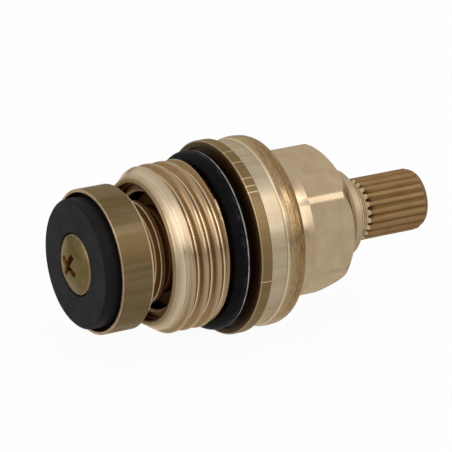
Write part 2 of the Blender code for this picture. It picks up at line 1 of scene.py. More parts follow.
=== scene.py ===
import math
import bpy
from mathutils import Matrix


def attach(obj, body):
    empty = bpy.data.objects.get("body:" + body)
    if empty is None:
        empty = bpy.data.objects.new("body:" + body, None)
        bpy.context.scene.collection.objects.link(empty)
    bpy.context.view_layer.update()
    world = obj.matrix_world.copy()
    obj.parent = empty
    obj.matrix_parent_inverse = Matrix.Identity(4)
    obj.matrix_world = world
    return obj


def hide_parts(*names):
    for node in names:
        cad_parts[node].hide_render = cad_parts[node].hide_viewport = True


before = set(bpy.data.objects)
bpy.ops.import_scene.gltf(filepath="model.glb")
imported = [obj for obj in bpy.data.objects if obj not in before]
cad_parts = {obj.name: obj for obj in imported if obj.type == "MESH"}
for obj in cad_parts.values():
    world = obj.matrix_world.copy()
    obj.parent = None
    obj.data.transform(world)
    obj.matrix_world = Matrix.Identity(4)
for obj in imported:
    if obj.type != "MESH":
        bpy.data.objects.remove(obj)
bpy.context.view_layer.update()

from types import SimpleNamespace

import bmesh
import bpy
import numpy as np
from mathutils import Matrix, Vector

# Camera: a long lens at the photograph's angle, about 30 degrees round from the side of the
# spindle axis and 20 degrees above it, so the washer end comes forward.
CAMERA_PLACE = (-0.204615, -0.352065, 0.145818)
CAMERA_TILT = math.radians(70.49)
CAMERA_PAN = math.radians(-30.41)
CAMERA_LENS = 278.8
CAMERA_SENSOR = 36.0
CAMERA_NEAR = 0.01


def placed(name, data):
    """An object in the scene that holds a mesh, a curve, a lamp or a camera."""
    thing = bpy.data.objects.new(name, data)
    bpy.context.scene.collection.objects.link(thing)
    return thing


camera = placed("camera", bpy.data.cameras.new("camera"))
camera.data.lens = CAMERA_LENS
camera.data.sensor_width = CAMERA_SENSOR
camera.data.clip_start = CAMERA_NEAR
camera.location = CAMERA_PLACE
camera.rotation_euler = (CAMERA_TILT, 0.0, CAMERA_PAN)
bpy.context.scene.camera = camera
bpy.context.scene.view_settings.view_transform = "Standard"

# Studio: a pale table just under the flange and white surroundings. A tall softbox stands on the
# right with a small one in front of it, a wide one on the left and a narrow one between them, and
# a low dark band far off gives the metal its edges.
WHITE = (1.0, 1.0, 1.0, 1.0)
SKY_STRENGTH = 0.60
TABLE_HEIGHT = -0.01225
TABLE_SIZE = 6.0
TABLE_COLOUR = (0.86, 0.86, 0.86, 1.0)
TABLE_SEEN_COLOUR = (0.95, 0.95, 0.95, 1.0)
TABLE_GLOW_SHARE = 0.95
BAND_COLOUR = (0.05, 0.035, 0.025, 1.0)
BAND_ROUGHNESS = 0.9
BAND_RADIUS = 1.6
BAND_HEIGHT = 0.16
BAND_GAP = 0.001
BAND_SIDES = 96


def join(value, socket):
    """Feed a socket with what a node gives, or with a plain number or colour."""
    if isinstance(value, bpy.types.NodeSocket):
        value.id_data.links.new(value, socket)
    else:
        socket.default_value = value


def new_node(tree, kind, feeds, **settings):
    """A node with its settings, and its sockets fed by their names or places."""
    node = tree.nodes.new(kind)
    for setting, choice in settings.items():
        setattr(node, setting, choice)
    for socket, value in feeds.items():
        join(value, node.inputs[socket])
    return node


def sum_of(operation, *values):
    """One sum on numbers and on what nodes give; the first comes from a node."""
    feeds = dict(enumerate(values))
    return new_node(values[0].id_data, "ShaderNodeMath", feeds, operation=operation).outputs[0]


def seen_directly(tree):
    """One where a ray comes from the camera, or from metal or glass, and else nought."""
    path = new_node(tree, "ShaderNodeLightPath", {}).outputs
    seen = sum_of("MAXIMUM", path["Is Camera Ray"], path["Is Glossy Ray"])
    return sum_of("MAXIMUM", seen, path["Is Transmission Ray"])


def mixed(share, first, second):
    """Two shaders mixed by a number or by what a node gives."""
    feeds = {0: share, 1: first.outputs[0], 2: second.outputs[0]}
    return new_node(first.id_data, "ShaderNodeMixShader", feeds)


world = bpy.data.worlds.new("studio")
bpy.context.scene.world = world
world.use_nodes = True
sky = world.node_tree
sky.nodes.clear()
soft_light = new_node(sky, "ShaderNodeBackground", {"Color": WHITE, "Strength": SKY_STRENGTH})
white_wall = new_node(sky, "ShaderNodeBackground", {"Color": WHITE, "Strength": 1.0})
choose_sky = mixed(seen_directly(sky), soft_light, white_wall)
new_node(sky, "ShaderNodeOutputWorld", {"Surface": choose_sky.outputs[0]})

table_paint = bpy.data.materials.new("table_paint")
table_paint.use_nodes = True
paint = table_paint.node_tree
paint.nodes.clear()
matt = new_node(paint, "ShaderNodeBsdfDiffuse", {"Color": TABLE_COLOUR})
pale = new_node(paint, "ShaderNodeBsdfDiffuse", {"Color": TABLE_SEEN_COLOUR})
glow = new_node(paint, "ShaderNodeEmission", {"Color": WHITE, "Strength": 1.0})
choose_paint = mixed(seen_directly(paint), matt, mixed(TABLE_GLOW_SHARE, pale, glow))
new_node(paint, "ShaderNodeOutputMaterial", {"Surface": choose_paint.outputs[0]})

half = TABLE_SIZE / 2
corners = [(-half, -half), (half, -half), (half, half), (-half, half)]
table_mesh = bpy.data.meshes.new("table")
table_mesh.from_pydata([(x, y, TABLE_HEIGHT) for x, y in corners], [], [(0, 1, 2, 3)])
table_mesh.materials.append(table_paint)
table = placed("table", table_mesh)

band_paint = bpy.data.materials.new("band_paint")
band_paint.use_nodes = True
band_shader = band_paint.node_tree.nodes["Principled BSDF"]
band_shader.inputs["Base Color"].default_value = BAND_COLOUR
band_shader.inputs["Roughness"].default_value = BAND_ROUGHNESS
band_low = TABLE_HEIGHT + BAND_GAP
band_points = []
for side in range(BAND_SIDES):
    turn = side * math.tau / BAND_SIDES
    for height in (band_low, band_low + BAND_HEIGHT):
        band_points.append((BAND_RADIUS * math.cos(turn), BAND_RADIUS * math.sin(turn), height))
count = len(band_points)
band_faces = [(i, i + 1, (i + 3) % count, (i + 2) % count) for i in range(0, count, 2)]
band_mesh = bpy.data.meshes.new("horizon_band")
band_mesh.from_pydata(band_points, [], band_faces)
band_mesh.materials.append(band_paint)
band = placed("horizon_band", band_mesh)
band.visible_camera = False
band.visible_diffuse = False
band.visible_shadow = False


def soft_lamp(name, toward, distance, size, power):
    """A softbox, wide and high by size, that looks at the object from one direction."""
    light = bpy.data.lights.new(name, "AREA")
    light.shape = "RECTANGLE"
    light.size, light.size_y = size
    light.energy = power
    lamp = placed(name, light)
    away = Vector(toward).normalized()
    lamp.location = away * distance
    lamp.rotation_euler = away.to_track_quat("Z", "Y").to_euler()


soft_lamp("lamp_right", (0.48, -0.70, 0.53), 0.9, (0.36, 0.72), 1.42)
soft_lamp("lamp_front", (0.477, -0.521, 0.709), 0.85, (0.25, 0.2), 0.37)
soft_lamp("lamp_left", (-0.9, -0.12, 0.38), 1.0, (0.8, 0.6), 2.5)
soft_lamp("lamp_middle", (-0.09, -0.80, 0.60), 0.9, (0.16, 0.34), 0.55)

# Body: one bar of brass turned to nose, flange, step, bead, shoulder and boss, with a G 1/2 thread
# cut on the nose, a spanner hexagon milled behind the bead, and the bores for plunger and spindle.
MM = 0.001
BODY_COLUMN = math.radians(1.25)
HEX_CORNER = math.radians(35.5)
HEX_ACROSS_FLATS = 17.0 * MM
GUIDE_ACROSS_FLATS = 11.6 * MM
SHOULDER_RADIUS = 9.56 * MM
HEX_FRONT = 9.15 * MM
HEX_CHAMFER_FRONT = 14.2 * MM
HEX_BACK = 15.6 * MM
HEX_END_RADIUS = 8.4 * MM
HEX_CHAMFER_CURVE = 1.5
NOSE_RADIUS = 9.15 * MM
LEAD_FRONT = -10.0 * MM
LEAD_BACK = -8.62 * MM
THREAD_FRONT = -10.05 * MM
THREAD_BACK = -3.72 * MM
THREAD_RADIUS = 10.4775 * MM
THREAD_PITCH = 1.814 * MM
THREAD_DEPTH = 0.7 * MM
THREAD_CREST_SHARE = 0.14
THREAD_ROOT_SHARE = 0.96
THREAD_START = 0.67
THREAD_ROW = 0.055 * MM
FLANGE_FACE_RADIUS = 12.0 * MM
FLANGE_BACK = 1.5 * MM
BOSS_ROOT_RADIUS = 5.62 * MM
GUIDE_FRONT = 0.9 * MM
GUIDE_BACK = 9.2 * MM
NICK_TURNS = [math.radians(t) for t in (77.0, 66.0, 53.5, 48.0, 44.0, -10.0)]
NICK_HALF_WIDTH = math.radians(0.17)
FILLET_STEPS = 3
FILLET_GUARD = 0.04
METAL_TINT = (0.90, 0.82, 0.68, 1.0)
METAL_SPECULAR = 0.15


def rounded(points):
    """A turned outline of (station, radius, fillet) in millimetres, with its corners rounded."""
    path = []
    last = len(points) - 1
    for i, (station, radius, fillet) in enumerate(points):
        here = Vector((station, radius))
        if i in (0, last) or fillet <= 0.0:
            path.append(here)
            continue
        back = Vector(points[i - 1][:2]) - here
        ahead = Vector(points[i + 1][:2]) - here
        turn = math.pi - back.angle(ahead)
        reach = min(fillet * math.tan(turn / 2), 0.45 * back.length, 0.45 * ahead.length)
        start = here + back.normalized() * reach
        end = here + ahead.normalized() * reach
        guard = min(FILLET_GUARD, 0.3 * (back.length - reach), 0.3 * (ahead.length - reach))
        path.append(start + back.normalized() * guard)
        for k in range(FILLET_STEPS + 1):
            t = k / FILLET_STEPS
            path.append((1 - t) ** 2 * start + 2 * t * (1 - t) * here + t * t * end)
        path.append(end + ahead.normalized() * guard)
    return np.array([tuple(p) for p in path]) * MM


def angle_apart(turns, turn):
    """How far angles lie from one angle, the short way round."""
    return abs((turns - turn + math.pi) % math.tau - math.pi)


def even_columns(step, exact=()):
    """Angles round the axis at an even step, with some angles met exactly."""
    count = round(math.tau / step)
    turns = [HEX_CORNER + i * math.tau / count for i in range(count)]
    kept = [t for t in turns if all(angle_apart(t, e) > 0.35 * step for e in exact)]
    return np.array(sorted(t % math.tau for t in [*kept, *exact]))


def all_round(path, turns):
    """Grids of station and radius for an outline that is the same all round."""
    return np.repeat(path[:, :1], len(turns), 1), np.repeat(path[:, 1:], len(turns), 1)


def skin(name, grids, turns):
    """A closed mesh round the spindle axis from grids of stations and radii, one behind another.

    A first or last row of no radius is one point on the axis; an outline with neither joins up.
    """
    station = np.vstack([grid[0] for grid in grids])
    radius = np.vstack([grid[1] for grid in grids])
    rows, cols = radius.shape
    y = -radius * np.cos(turns)
    z = radius * np.sin(turns)
    poles = [i for i in (0, rows - 1) if radius[i].max() < 1e-7]
    points = []
    index = np.zeros((rows, cols), int)
    for i in range(rows):
        if i in poles:
            index[i] = len(points)
            points.append((station[i, 0], 0.0, 0.0))
        else:
            index[i] = np.arange(cols) + len(points)
            points.extend(zip(station[i], y[i], z[i]))
    faces = []
    face_rows = []
    for i in range(rows - 1 if poles else rows):
        near = index[i]
        far = index[(i + 1) % rows]
        for j in range(cols):
            k = (j + 1) % cols
            loop = [near[j], far[j], far[k], near[k]]
            faces.append(tuple(int(v) for n, v in enumerate(loop) if v != loop[n - 1]))
            face_rows.append(i)
    mesh = bpy.data.meshes.new(name)
    mesh.from_pydata([tuple(map(float, point)) for point in points], [], faces)
    mesh.shade_smooth()
    mesh.update()
    return mesh, np.array(face_rows), index


def flat_radius(across_flats, turns):
    """How far a hexagon's flats lie from the axis at each angle."""
    off_corner = (turns - HEX_CORNER) % (math.pi / 3) - math.pi / 6
    return across_flats / 2 / np.cos(off_corner)


def keep_on_mesh(mesh, name, domain, values):
    """Store a number for each point or face under a name, for a rule or a finish to read."""
    mesh.attributes.new(name, "FLOAT", domain).data.foreach_set("value", values)


corner_half = math.pi / 6 - math.acos(HEX_ACROSS_FLATS / 2 / SHOULDER_RADIUS)
exact_turns = []
for side in range(6):
    corner = HEX_CORNER + side * math.pi / 3
    exact_turns += [corner - corner_half, corner + corner_half]
for nick in NICK_TURNS:
    exact_turns += [nick + share * NICK_HALF_WIDTH for share in (-2, -1, 1, 2)]
body_turns = even_columns(BODY_COLUMN, [t % math.tau for t in exact_turns])

nose = rounded([
    (-10.6, 8.72, 0), (-10.6, 8.92, 0.1), (-10.36, 9.15, 0.12), (-10.0, 9.15, 0.25), (-8.62, 10.4775, 0),
])
nose = nose[nose[:, 0] <= THREAD_FRONT]
thread_rows = np.arange(THREAD_FRONT, THREAD_BACK, THREAD_ROW)
lead_slope = (THREAD_RADIUS - NOSE_RADIUS) / (LEAD_BACK - LEAD_FRONT)
blank = np.minimum(NOSE_RADIUS + np.maximum(0, thread_rows - LEAD_FRONT) * lead_slope, THREAD_RADIUS)
thread_blank = np.column_stack([thread_rows, blank])
flange = rounded([
    (-3.72, 10.4775, 0), (-3.35, 10.13, 0.08), (-3.35, 8.82, 0.15), (0.25, 8.82, 0.15), (0.25, 11.36, 0.05),
    (0.0, 11.36, 0.05), (0.0, 12.0, 0.06), (0.19, 12.19, 0.06), (1.36, 12.19, 0.07), (1.5, 12.05, 0.05),
    (1.5, 11.6, 0.05), (3.82, 11.6, 0.05), (3.98, 11.8, 0.08), (4.5, 11.96, 0.5), (5.15, 12.0, 0.8),
    (5.9, 11.93, 0.5), (6.4, 11.74, 0.06), (6.4, 9.56, 0.16), (9.15, 9.56, 0),
])
outline = np.vstack([nose, thread_blank, flange])
shoulder_end = len(outline)

milled_reach = np.minimum(flat_radius(HEX_ACROSS_FLATS, body_turns), SHOULDER_RADIUS)
chamfer_drop = SHOULDER_RADIUS - HEX_END_RADIUS
chamfer_length = HEX_BACK - HEX_CHAMFER_FRONT
chamfer_share = ((SHOULDER_RADIUS - milled_reach) / chamfer_drop) ** (1 / HEX_CHAMFER_CURVE)
chamfer_start = HEX_CHAMFER_FRONT + chamfer_length * chamfer_share
ones = np.ones(len(body_turns))
hex_station = []
hex_radius = []
for share in (0.0, 0.012, 0.5, 0.988, 1.0):
    hex_station.append(HEX_FRONT + (chamfer_start - HEX_FRONT) * share)
    hex_radius.append(milled_reach)
for share in (0.05, 0.3, 0.55, 0.8, 0.96, 1.0):
    here = chamfer_start + (HEX_BACK - chamfer_start) * share
    in_chamfer = (here - HEX_CHAMFER_FRONT) / chamfer_length
    hex_station.append(here)
    hex_radius.append(SHOULDER_RADIUS - chamfer_drop * in_chamfer**HEX_CHAMFER_CURVE)
for share in (0.03, 0.5, 0.96):
    hex_station.append(HEX_BACK * ones)
    hex_radius.append((HEX_END_RADIUS + (BOSS_ROOT_RADIUS - HEX_END_RADIUS) * share) * ones)

boss = rounded([
    (15.6, 5.62, 0), (15.6, 5.5, 0.1), (18.62, 5.5, 0.08), (18.85, 5.27, 0.08), (18.85, 4.36, 0.06),
    (18.6, 4.1, 0.06), (12.6, 4.1, 0.0), (12.6, 6.9, 0.0), (9.2, 6.9, 0.0),
])
guide_station = [GUIDE_BACK * ones, GUIDE_FRONT * ones]
guide_radius = [flat_radius(GUIDE_ACROSS_FLATS, body_turns)] * 2
mouth = rounded([
    (0.9, 7.35, 0), (-9.05, 7.35, 0.05), (-9.3, 7.6, 0.05), (-9.3, 8.5, 0.12), (-10.38, 8.5, 0.08),
    (-10.6, 8.72, 0),
])[:-1]
body_grids = [
    all_round(outline, body_turns),
    (hex_station, hex_radius),
    all_round(boss, body_turns),
    (guide_station, guide_radius),
    all_round(mouth, body_turns),
]
body_mesh, body_rows, body_index = skin("body_turned", body_grids, body_turns)

in_thread = np.zeros(len(body_mesh.vertices), np.float32)
in_thread[body_index[len(nose):len(nose) + len(thread_blank) + 3]] = 1.0
keep_on_mesh(body_mesh, "die_cut", "POINT", in_thread)

on_rim = (outline[:, 0] > 0.0) & (outline[:, 0] < FLANGE_BACK) & (outline[:, 1] > FLANGE_FACE_RADIUS)
nicked = np.zeros(len(body_mesh.vertices), np.float32)
for nick in NICK_TURNS:
    columns = np.where(angle_apart(body_turns, nick) <= NICK_HALF_WIDTH * 1.05)[0]
    nicked[body_index[np.ix_(np.where(on_rim)[0], columns)]] = 1.0
keep_on_mesh(body_mesh, "nick", "POINT", nicked)

flat_face = np.zeros(len(body_mesh.polygons), np.float32)
for face in np.where((body_rows >= shoulder_end) & (body_rows < shoulder_end + 4))[0]:
    centre = body_mesh.polygons[face].center
    flat_face[face] = flat_radius(HEX_ACROSS_FLATS, math.atan2(centre.z, -centre.y)) < SHOULDER_RADIUS
keep_on_mesh(body_mesh, "on_flats", "FACE", flat_face)
body_piece = placed("body_turned", body_mesh)


def finish_nodes(name, metal):
    """A new finish: its material and shader, and where each point lies along and round the axis."""
    material = bpy.data.materials.new(name)
    material.use_nodes = True
    tree = material.node_tree
    shader = tree.nodes["Principled BSDF"]
    if metal:
        shader.inputs["Metallic"].default_value = 1.0
        shader.inputs["Specular Tint"].default_value = METAL_TINT
        shader.inputs["Specular IOR Level"].default_value = METAL_SPECULAR
    place = new_node(tree, "ShaderNodeTexCoord", {}).outputs["Object"]
    split = new_node(tree, "ShaderNodeSeparateXYZ", {0: place}).outputs
    across = new_node(tree, "ShaderNodeCombineXYZ", {"Y": split["Y"], "Z": split["Z"]}).outputs[0]
    from_axis = new_node(tree, "ShaderNodeVectorMath", {0: across}, operation="LENGTH").outputs["Value"]
    lathe = new_node(tree, "ShaderNodeCombineXYZ", {"X": split["X"], "Y": from_axis}).outputs[0]
    return SimpleNamespace(
        material=material, shader=shader, place=place, lathe=lathe, along=split["X"], from_axis=from_axis
    )


def pattern(source, scale, detail=3.0, rough=0.55):
    """A noise whose grain is stretched by a different scale along each axis."""
    stretch = new_node(source.id_data, "ShaderNodeMapping", {"Scale": scale, "Vector": source})
    feeds = {"Scale": 1.0, "Detail": detail, "Roughness": rough, "Vector": stretch.outputs[0]}
    return new_node(source.id_data, "ShaderNodeTexNoise", feeds).outputs["Fac"]


def between(value, low, high, start=0.0, end=1.0):
    """A value brought from one range to another and held inside it."""
    feeds = {"Value": value, "From Min": low, "From Max": high, "To Min": start, "To Max": end}
    return new_node(value.id_data, "ShaderNodeMapRange", feeds).outputs["Result"]


def ramp(length, low, high, start=0.0, end=1.0):
    """The same for a station or a radius, with its range in millimetres."""
    return between(length, low * MM, high * MM, start, end)


def times(first, second):
    """The product of masks, patterns, sizes or shares."""
    return sum_of("MULTIPLY", first, second)


def zone(length, start, end, soft=0.05):
    """One between two stations or two radii in millimetres, nought outside, with soft edges."""
    return times(ramp(length, start - soft, start + soft), ramp(length, end - soft, end + soft, 1.0, 0.0))


def tint(factor, first, second):
    """One colour passing into another; each is a colour or another tint."""
    colours = [(*colour, 1.0) if isinstance(colour, tuple) else colour for colour in (first, second)]
    feeds = {0: factor, 6: colours[0], 7: colours[1]}
    return new_node(factor.id_data, "ShaderNodeMix", feeds, data_type="RGBA").outputs[2]


def mark(finish, name):
    """A number that the mesh carries under a name."""
    return new_node(finish.shader.id_data, "ShaderNodeAttribute", {}, attribute_name=name).outputs["Fac"]


def lay_on(finish, base, roughness, height, strength, depth):
    """Give a finish its colour and roughness, and a relief of a depth in millimetres."""
    feeds = {"Strength": strength, "Distance": depth * MM, "Height": height}
    bump = new_node(base.id_data, "ShaderNodeBump", feeds)
    join(base, finish.shader.inputs["Base Color"])
    join(roughness, finish.shader.inputs["Roughness"])
    join(bump.outputs["Normal"], finish.shader.inputs["Normal"])


# Turned brass: pale satin gold with fine rings from the tool on the nose and the shoulder, drawn
# streaks on the step, olive on the flange rim, and a brown, scratched bead. Shade is painted on the
# nose lip, inside the mouth, along the thread, in the seal groove, on the flange face, at the step's
# foot, behind the bead and round the boss; highlights are painted on the bore's edge, the thread's
# flanks, the rim's edge and the bead's front edge.
turned_brass = finish_nodes("turned_brass", True)
along = turned_brass.along
from_axis = turned_brass.from_axis
rings = pattern(turned_brass.lathe, (5200.0, 5200.0, 1.0))
streaks = pattern(turned_brass.place, (110.0, 2400.0, 2400.0), 4.0, 0.6)
wide_streaks = pattern(turned_brass.place, (60.0, 520.0, 520.0), 3.0)
long_scratch = pattern(turned_brass.place, (6500.0, 420.0, 420.0), 3.0, 0.65)
cloud = pattern(turned_brass.place, (260.0, 260.0, 260.0), 4.0, 0.6)
on_bead_top = ramp(from_axis, 11.3, 11.8)
fleck = times(between(long_scratch, 0.46, 0.60), on_bead_top)

beige = tint(rings, (0.375, 0.285, 0.185), (0.445, 0.350, 0.235))
base = tint(between(cloud, 0.40, 0.70, 0.0, 0.55), beige, (0.33, 0.235, 0.135))

lead_in = zone(along, -9.75, -8.65, 0.15)
base = tint(lead_in, base, tint(rings, (0.435, 0.345, 0.232), (0.535, 0.435, 0.305)))
# Painted shade: the nose lip and its front face are darker all round.
lip = zone(along, -10.8, -10.28)
base = tint(lip, base, tint(cloud, (0.175, 0.115, 0.058), (0.25, 0.175, 0.095)))
# Painted shade: the mouth's inner wall is dark brown, as the bore lies in shade.
mouth_shade = times(zone(from_axis, 7.2, 8.66), zone(along, -10.46, 1.5))
base = tint(mouth_shade, base, tint(cloud, (0.040, 0.011, 0.002), (0.070, 0.023, 0.005)))
# Painted highlight: a pale cream line on the bore's edge chamfer, left less metallic.
bore_edge_highlight = times(zone(from_axis, 7.3, 7.62, 0.02), zone(along, -9.34, -9.0, 0.02))
base = tint(bore_edge_highlight, base, (0.78, 0.60, 0.40))

root_cos = mark(turned_brass, "root_cos")
flank_sin = mark(turned_brass, "flank_sin")


def thread_band(turn, low, high):
    """A band that runs along the thread at one place across its pitch."""
    first = times(root_cos, math.cos(turn))
    second = times(flank_sin, math.sin(turn))
    return between(sum_of("ADD", first, second), low, high)


# Painted light along the thread, by place in the pitch: a darker tan band on the flanks as painted shade,
# darker crests, a pale line on the flank as a painted highlight and a dark line in the root as painted
# shade.
thread_zone = zone(along, -8.95, -3.3, 0.3)
tan_shade_band = times(thread_band(math.radians(78), 0.45, 0.88), thread_zone)
base = tint(tan_shade_band, base, tint(cloud, (0.190, 0.108, 0.044), (0.285, 0.185, 0.090)))
first_cut = zone(along, -9.6, -3.3, 0.3)
crest = times(thread_band(math.radians(180), 0.3, 0.9), thread_zone)
base = tint(times(crest, 0.55), base, (0.275, 0.190, 0.108))
flank_highlight = times(thread_band(math.radians(6), 0.93, 0.975), first_cut)
base = tint(times(flank_highlight, 0.85), base, (0.58, 0.46, 0.29))
root_shade_line = times(thread_band(math.radians(32), 0.985, 0.995), first_cut)
base = tint(times(root_shade_line, 0.6), base, (0.125, 0.068, 0.027))

# Painted shade: the seal groove behind the ring is near black, and less metallic.
groove_shade = times(zone(from_axis, 8.6, 9.7), zone(along, -3.3, 0.4))
base = tint(groove_shade, base, (0.070, 0.026, 0.006))
# Painted shade: the flange's front face is near black, darkest towards the seal ring.
face_shade_zone = times(zone(from_axis, 9.0, 12.02), zone(along, -0.3, 0.32))
face_shade_colour = tint(ramp(from_axis, 11.3, 11.95), (0.034, 0.014, 0.004), (0.085, 0.050, 0.019))
face_shade_colour = tint(between(cloud, 0.35, 0.65), face_shade_colour, (0.050, 0.026, 0.009))
base = tint(face_shade_zone, base, face_shade_colour)

rim_zone = times(ramp(from_axis, 11.98, 12.1), zone(along, 0.05, 1.6))
rim_colour = tint(streaks, (0.135, 0.086, 0.035), (0.205, 0.140, 0.068))
base = tint(rim_zone, base, rim_colour)
# Painted highlight: a lighter line on the rim's front edge.
rim_edge_highlight = times(zone(from_axis, 12.0, 12.16, 0.03), zone(along, -0.02, 0.17, 0.03))
base = tint(times(rim_edge_highlight, 0.6), base, (0.32, 0.225, 0.11))

step_zone = zone(along, 1.55, 3.86)
step_colour = tint(streaks, (0.335, 0.262, 0.168), (0.450, 0.378, 0.272))
step_colour = tint(between(wide_streaks, 0.42, 0.66, 0.0, 0.5), step_colour, (0.29, 0.205, 0.115))
base = tint(step_zone, base, step_colour)
# Painted shade: darker in the corner at the step's foot.
step_foot_shade = zone(along, 1.45, 1.72, 0.08)
base = tint(times(step_foot_shade, 0.6), base, (0.18, 0.125, 0.065))

bead_zone = zone(along, 3.86, 6.45, 0.03)
bead_front = tint(streaks, (0.29, 0.205, 0.115), (0.39, 0.295, 0.185))
bead_back = tint(streaks, (0.150, 0.082, 0.031), (0.215, 0.125, 0.052))
bead_colour = tint(ramp(along, 4.2, 5.5), bead_front, bead_back)
bead_colour = tint(times(fleck, 0.55), bead_colour, (0.36, 0.245, 0.125))
dark_scratch = times(between(long_scratch, 0.44, 0.36, 0.0, 0.6), on_bead_top)
bead_colour = tint(dark_scratch, bead_colour, (0.105, 0.058, 0.024))
speckle = pattern(turned_brass.place, (3600.0, 1500.0, 1500.0), 4.0, 0.7)
bead_colour = tint(between(speckle, 0.50, 0.66, 0.0, 0.5), bead_colour, (0.36, 0.25, 0.125))
bead_colour = tint(between(speckle, 0.46, 0.34, 0.0, 0.4), bead_colour, (0.125, 0.068, 0.026))
base = tint(bead_zone, base, bead_colour)
# Painted highlight: a pale line in the crease at the bead's front edge.
crease_highlight = zone(along, 3.90, 4.10, 0.03)
base = tint(times(crease_highlight, 0.6), base, (0.66, 0.54, 0.37))

# Painted shade: dark brown just behind the bead.
behind_bead_shade = zone(along, 6.46, 7.55, 0.12)
base = tint(times(behind_bead_shade, 0.85), base, tint(streaks, (0.15, 0.085, 0.034), (0.22, 0.138, 0.064)))

hex_end = times(ramp(from_axis, 5.6, 5.8), ramp(along, 14.1, 14.5))
base = tint(hex_end, base, tint(rings, (0.20, 0.140, 0.072), (0.27, 0.195, 0.108)))
on_boss = ramp(from_axis, 5.85, 5.65)
# Painted shade: the boss is darker near the hexagon, darkest where it passes behind it, and at its end.
boss_root_shade = times(zone(along, 15.5, 17.75, 0.12), on_boss)
base = tint(times(boss_root_shade, 0.8), base, (0.17, 0.108, 0.046))
boss_shade = times(ramp(along, 17.25, 16.75), on_boss)
base = tint(times(boss_shade, 0.7), base, (0.085, 0.048, 0.018))
boss_end_shade = times(ramp(along, 18.62, 18.72), on_boss)
base = tint(times(boss_end_shade, 0.7), base, (0.20, 0.135, 0.065))
base = tint(mark(turned_brass, "nick"), base, (0.52, 0.41, 0.25))
dull_zone = sum_of("MAXIMUM", bore_edge_highlight, sum_of("MAXIMUM", groove_shade, face_shade_zone))
join(between(dull_zone, 0.0, 1.0, 1.0, 0.25), turned_brass.shader.inputs["Metallic"])

boss_zone = times(ramp(along, 15.4, 15.7), ramp(from_axis, 5.9, 5.8))
roughness = between(rings, 0.3, 0.7, 0.17, 0.27)
for rougher in (
    times(boss_zone, 0.17),
    ramp(along, 8.0, 9.0, 0.0, 0.11),
    ramp(along, -9.4, -9.9, 0.03, 0.16),
    times(step_zone, 0.12),
    times(rim_zone, 0.18),
    times(dull_zone, 0.25),
):
    roughness = sum_of("ADD", roughness, rougher)
bead_relief = times(bead_zone, times(long_scratch, 2.6))
step_relief = times(sum_of("ADD", step_zone, rim_zone), streaks)
height = sum_of("ADD", times(rings, 0.35), sum_of("ADD", bead_relief, step_relief))
lay_on(turned_brass, base, roughness, height, 0.35, 0.02)
turned_brass.shader.inputs["Anisotropic"].default_value = 0.35
turning_lines = new_node(base.id_data, "ShaderNodeTangent", {}, direction_type="RADIAL", axis="X")
join(turning_lines.outputs[0], turned_brass.shader.inputs["Tangent"])

# Milled brass: the spanner flats, cut by a mill and left satin, with faint passes across them and
# a mottled skin from the chips.
milled_brass = finish_nodes("milled_brass", True)
passes = pattern(milled_brass.place, (3400.0, 150.0, 150.0), 4.0, 0.65)
cloud = pattern(milled_brass.place, (420.0, 420.0, 420.0), 5.0, 0.62)
base = tint(passes, (0.385, 0.292, 0.176), (0.495, 0.392, 0.254))
base = tint(between(cloud, 0.40, 0.72, 0.0, 0.65), base, (0.345, 0.255, 0.146))
lay_on(milled_brass, base, between(cloud, 0.3, 0.7, 0.34, 0.50), passes, 0.35, 0.02)

# The thread is cut by one rule: at each point the radius is the smaller of the blank's own and the
# die's, whose depth turns once round in one pitch, with round crests and roots.
WHOLE_TURNS = 100.0


def new_rule(name, sizes, finishes):
    """A rule in Geometry Nodes with named inputs: its inputs, and what they are set to."""
    group = bpy.data.node_groups.new(name, "GeometryNodeTree")
    group.interface.new_socket(name="Geometry", in_out="INPUT", socket_type="NodeSocketGeometry")
    settings = {}
    for kind, given in (("NodeSocketFloat", sizes), ("NodeSocketMaterial", finishes)):
        for socket_name, value in given.items():
            made = group.interface.new_socket(name=socket_name, in_out="INPUT", socket_type=kind)
            settings[made.identifier] = value
    group.interface.new_socket(name="Geometry", in_out="OUTPUT", socket_type="NodeSocketGeometry")
    return group.nodes.new("NodeGroupInput").outputs, settings


def spot_of(group):
    """Where each point lies: its place, and its radius and turns round the spindle axis."""
    position = new_node(group, "GeometryNodeInputPosition", {}).outputs[0]
    split = new_node(group, "ShaderNodeSeparateXYZ", {0: position}).outputs
    x, y, z = split["X"], split["Y"], split["Z"]
    radius = sum_of("SQRT", sum_of("ADD", times(y, y), times(z, z)))
    turns = sum_of("DIVIDE", sum_of("ARCTAN2", z, y), math.tau)
    return SimpleNamespace(x=x, y=y, z=z, radius=radius, turns=turns)


def marked(group, name):
    """The points or faces that the mesh marks under a name."""
    feeds = {"Name": name}
    value = new_node(group, "GeometryNodeInputNamedAttribute", feeds, data_type="FLOAT").outputs["Attribute"]
    return sum_of("GREATER_THAN", value, 0.5)


def keep_value(geometry, name, value):
    """Store a number on the mesh under a name, for the finish to read."""
    feeds = {"Geometry": geometry, "Name": name, "Value": value}
    kind = "GeometryNodeStoreNamedAttribute"
    return new_node(value.id_data, kind, feeds, data_type="FLOAT", domain="POINT").outputs["Geometry"]


